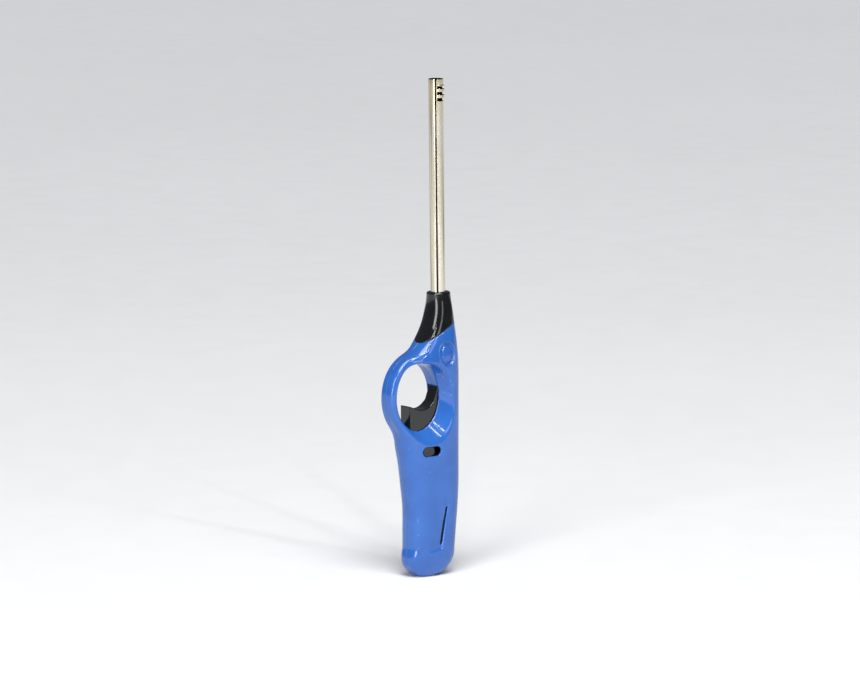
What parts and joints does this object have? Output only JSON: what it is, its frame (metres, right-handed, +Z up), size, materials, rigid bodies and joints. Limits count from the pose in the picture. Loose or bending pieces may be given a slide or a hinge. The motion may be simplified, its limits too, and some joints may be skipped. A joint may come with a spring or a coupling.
{
  "type": "utility gas lighter",
  "caption": "Long-nosed refillable utility gas lighter with finger ring, sliding trigger, piezo spark unit, side lock and steel wand.",
  "frame": {"origin": "on the base plane z = 0, under the centre of the whole object's box", "axes": "+Z up along the wand, +X towards the spine, -X towards the finger ring, -Y the near side with the lock and sight slit"},
  "size_m": [0.0468, 0.0222, 0.27],
  "materials": {
    "body_blue": "glossy injection-moulded, fine scuffs",
    "black_gloss": "glossy black moulding",
    "wand_steel": "rolled sheet, warm bright finish",
    "spring_steel": "bright drawn wire and stampings",
    "brass": "turned",
    "hose_rubber": "matte flexible tube",
    "lead_red": "insulated lead",
    "white_plastic": "natural moulding",
    "piezo_plastic": "natural moulding",
    "crystal": "fired ceramic",
    "tank_clear": "smoky translucent moulding"
  },
  "bodies": {
    "housing": {"near_shell": "body_blue", "far_shell": "body_blue", "nose_cone": "black_gloss", "wand_tube": "wand_steel", "nozzle_holder": "white_plastic", "burner_nozzle": "brass", "spark_electrode": "spring_steel", "gas_hose": "hose_rubber", "ignition_wire": "lead_red", "piezo_housing": "piezo_plastic", "piezo_anvil": "brass", "piezo_crystal": "crystal", "strike_pad": "brass", "piezo_hammer": "spring_steel", "piezo_spring": "spring_steel", "fuel_tank": "tank_clear", "tank_lid": "tank_clear", "fuel_wick": "white_plastic", "outlet_valve_body": "brass", "outlet_spring": "spring_steel", "lever_pin": "spring_steel", "refill_valve_body": "brass", "refill_spring": "spring_steel"},
    "trigger_body": {"trigger": "black_gloss", "piezo_plunger": "black_gloss"},
    "lock_body": {"lock_slider": "black_gloss"},
    "lever_body": {"gas_lever": "spring_steel"},
    "stem_body": {"outlet_valve_stem": "brass", "outlet_seal": "hose_rubber"},
    "adjuster_body": {"flame_adjuster": "black_gloss"},
    "refill_body": {"refill_valve_stem": "brass"}
  },
  "joints": [
    {"name": "trigger_slide", "type": "slide", "parent": "housing", "child": "trigger_body", "axis": [0, 0, -1], "range_m": [0, 0.0055], "stiffness_N_per_m": 1500, "springref_m": -0.002, "deforming": ["piezo_spring"]},
    {"name": "lever_hinge", "type": "hinge", "parent": "housing", "child": "lever_body", "pos_m": [0.0113, 0.0051, 0.065], "axis": [0, -1, 0], "range_deg": [0, 23.5]},
    {"name": "valve_lift", "type": "slide", "parent": "housing", "child": "stem_body", "axis": [0, 0, 1], "range_m": [0, 0.0015], "deforming": ["outlet_spring"]},
    {"name": "lock_slide", "type": "slide", "parent": "housing", "child": "lock_body", "axis": [1, 0, 0], "range_m": [0, 0.0034]},
    {"name": "flame_turn", "type": "hinge", "parent": "housing", "child": "adjuster_body", "pos_m": [0.015, 0, 0.054], "axis": [0, 0, 1], "range_deg": [-22, 22]},
    {"name": "refill_press", "type": "slide", "parent": "housing", "child": "refill_body", "axis": [0, 0, 1], "range_m": [0, 0.0012], "stiffness_N_per_m": 800, "springref_m": -0.001, "deforming": ["refill_spring"]}
  ],
  "couplings": [
    {"joint": "lever_hinge", "follows": "trigger_slide", "rad_per_m": 74.571},
    {"joint": "valve_lift", "follows": "trigger_slide", "ratio": 0.2727}
  ]
}
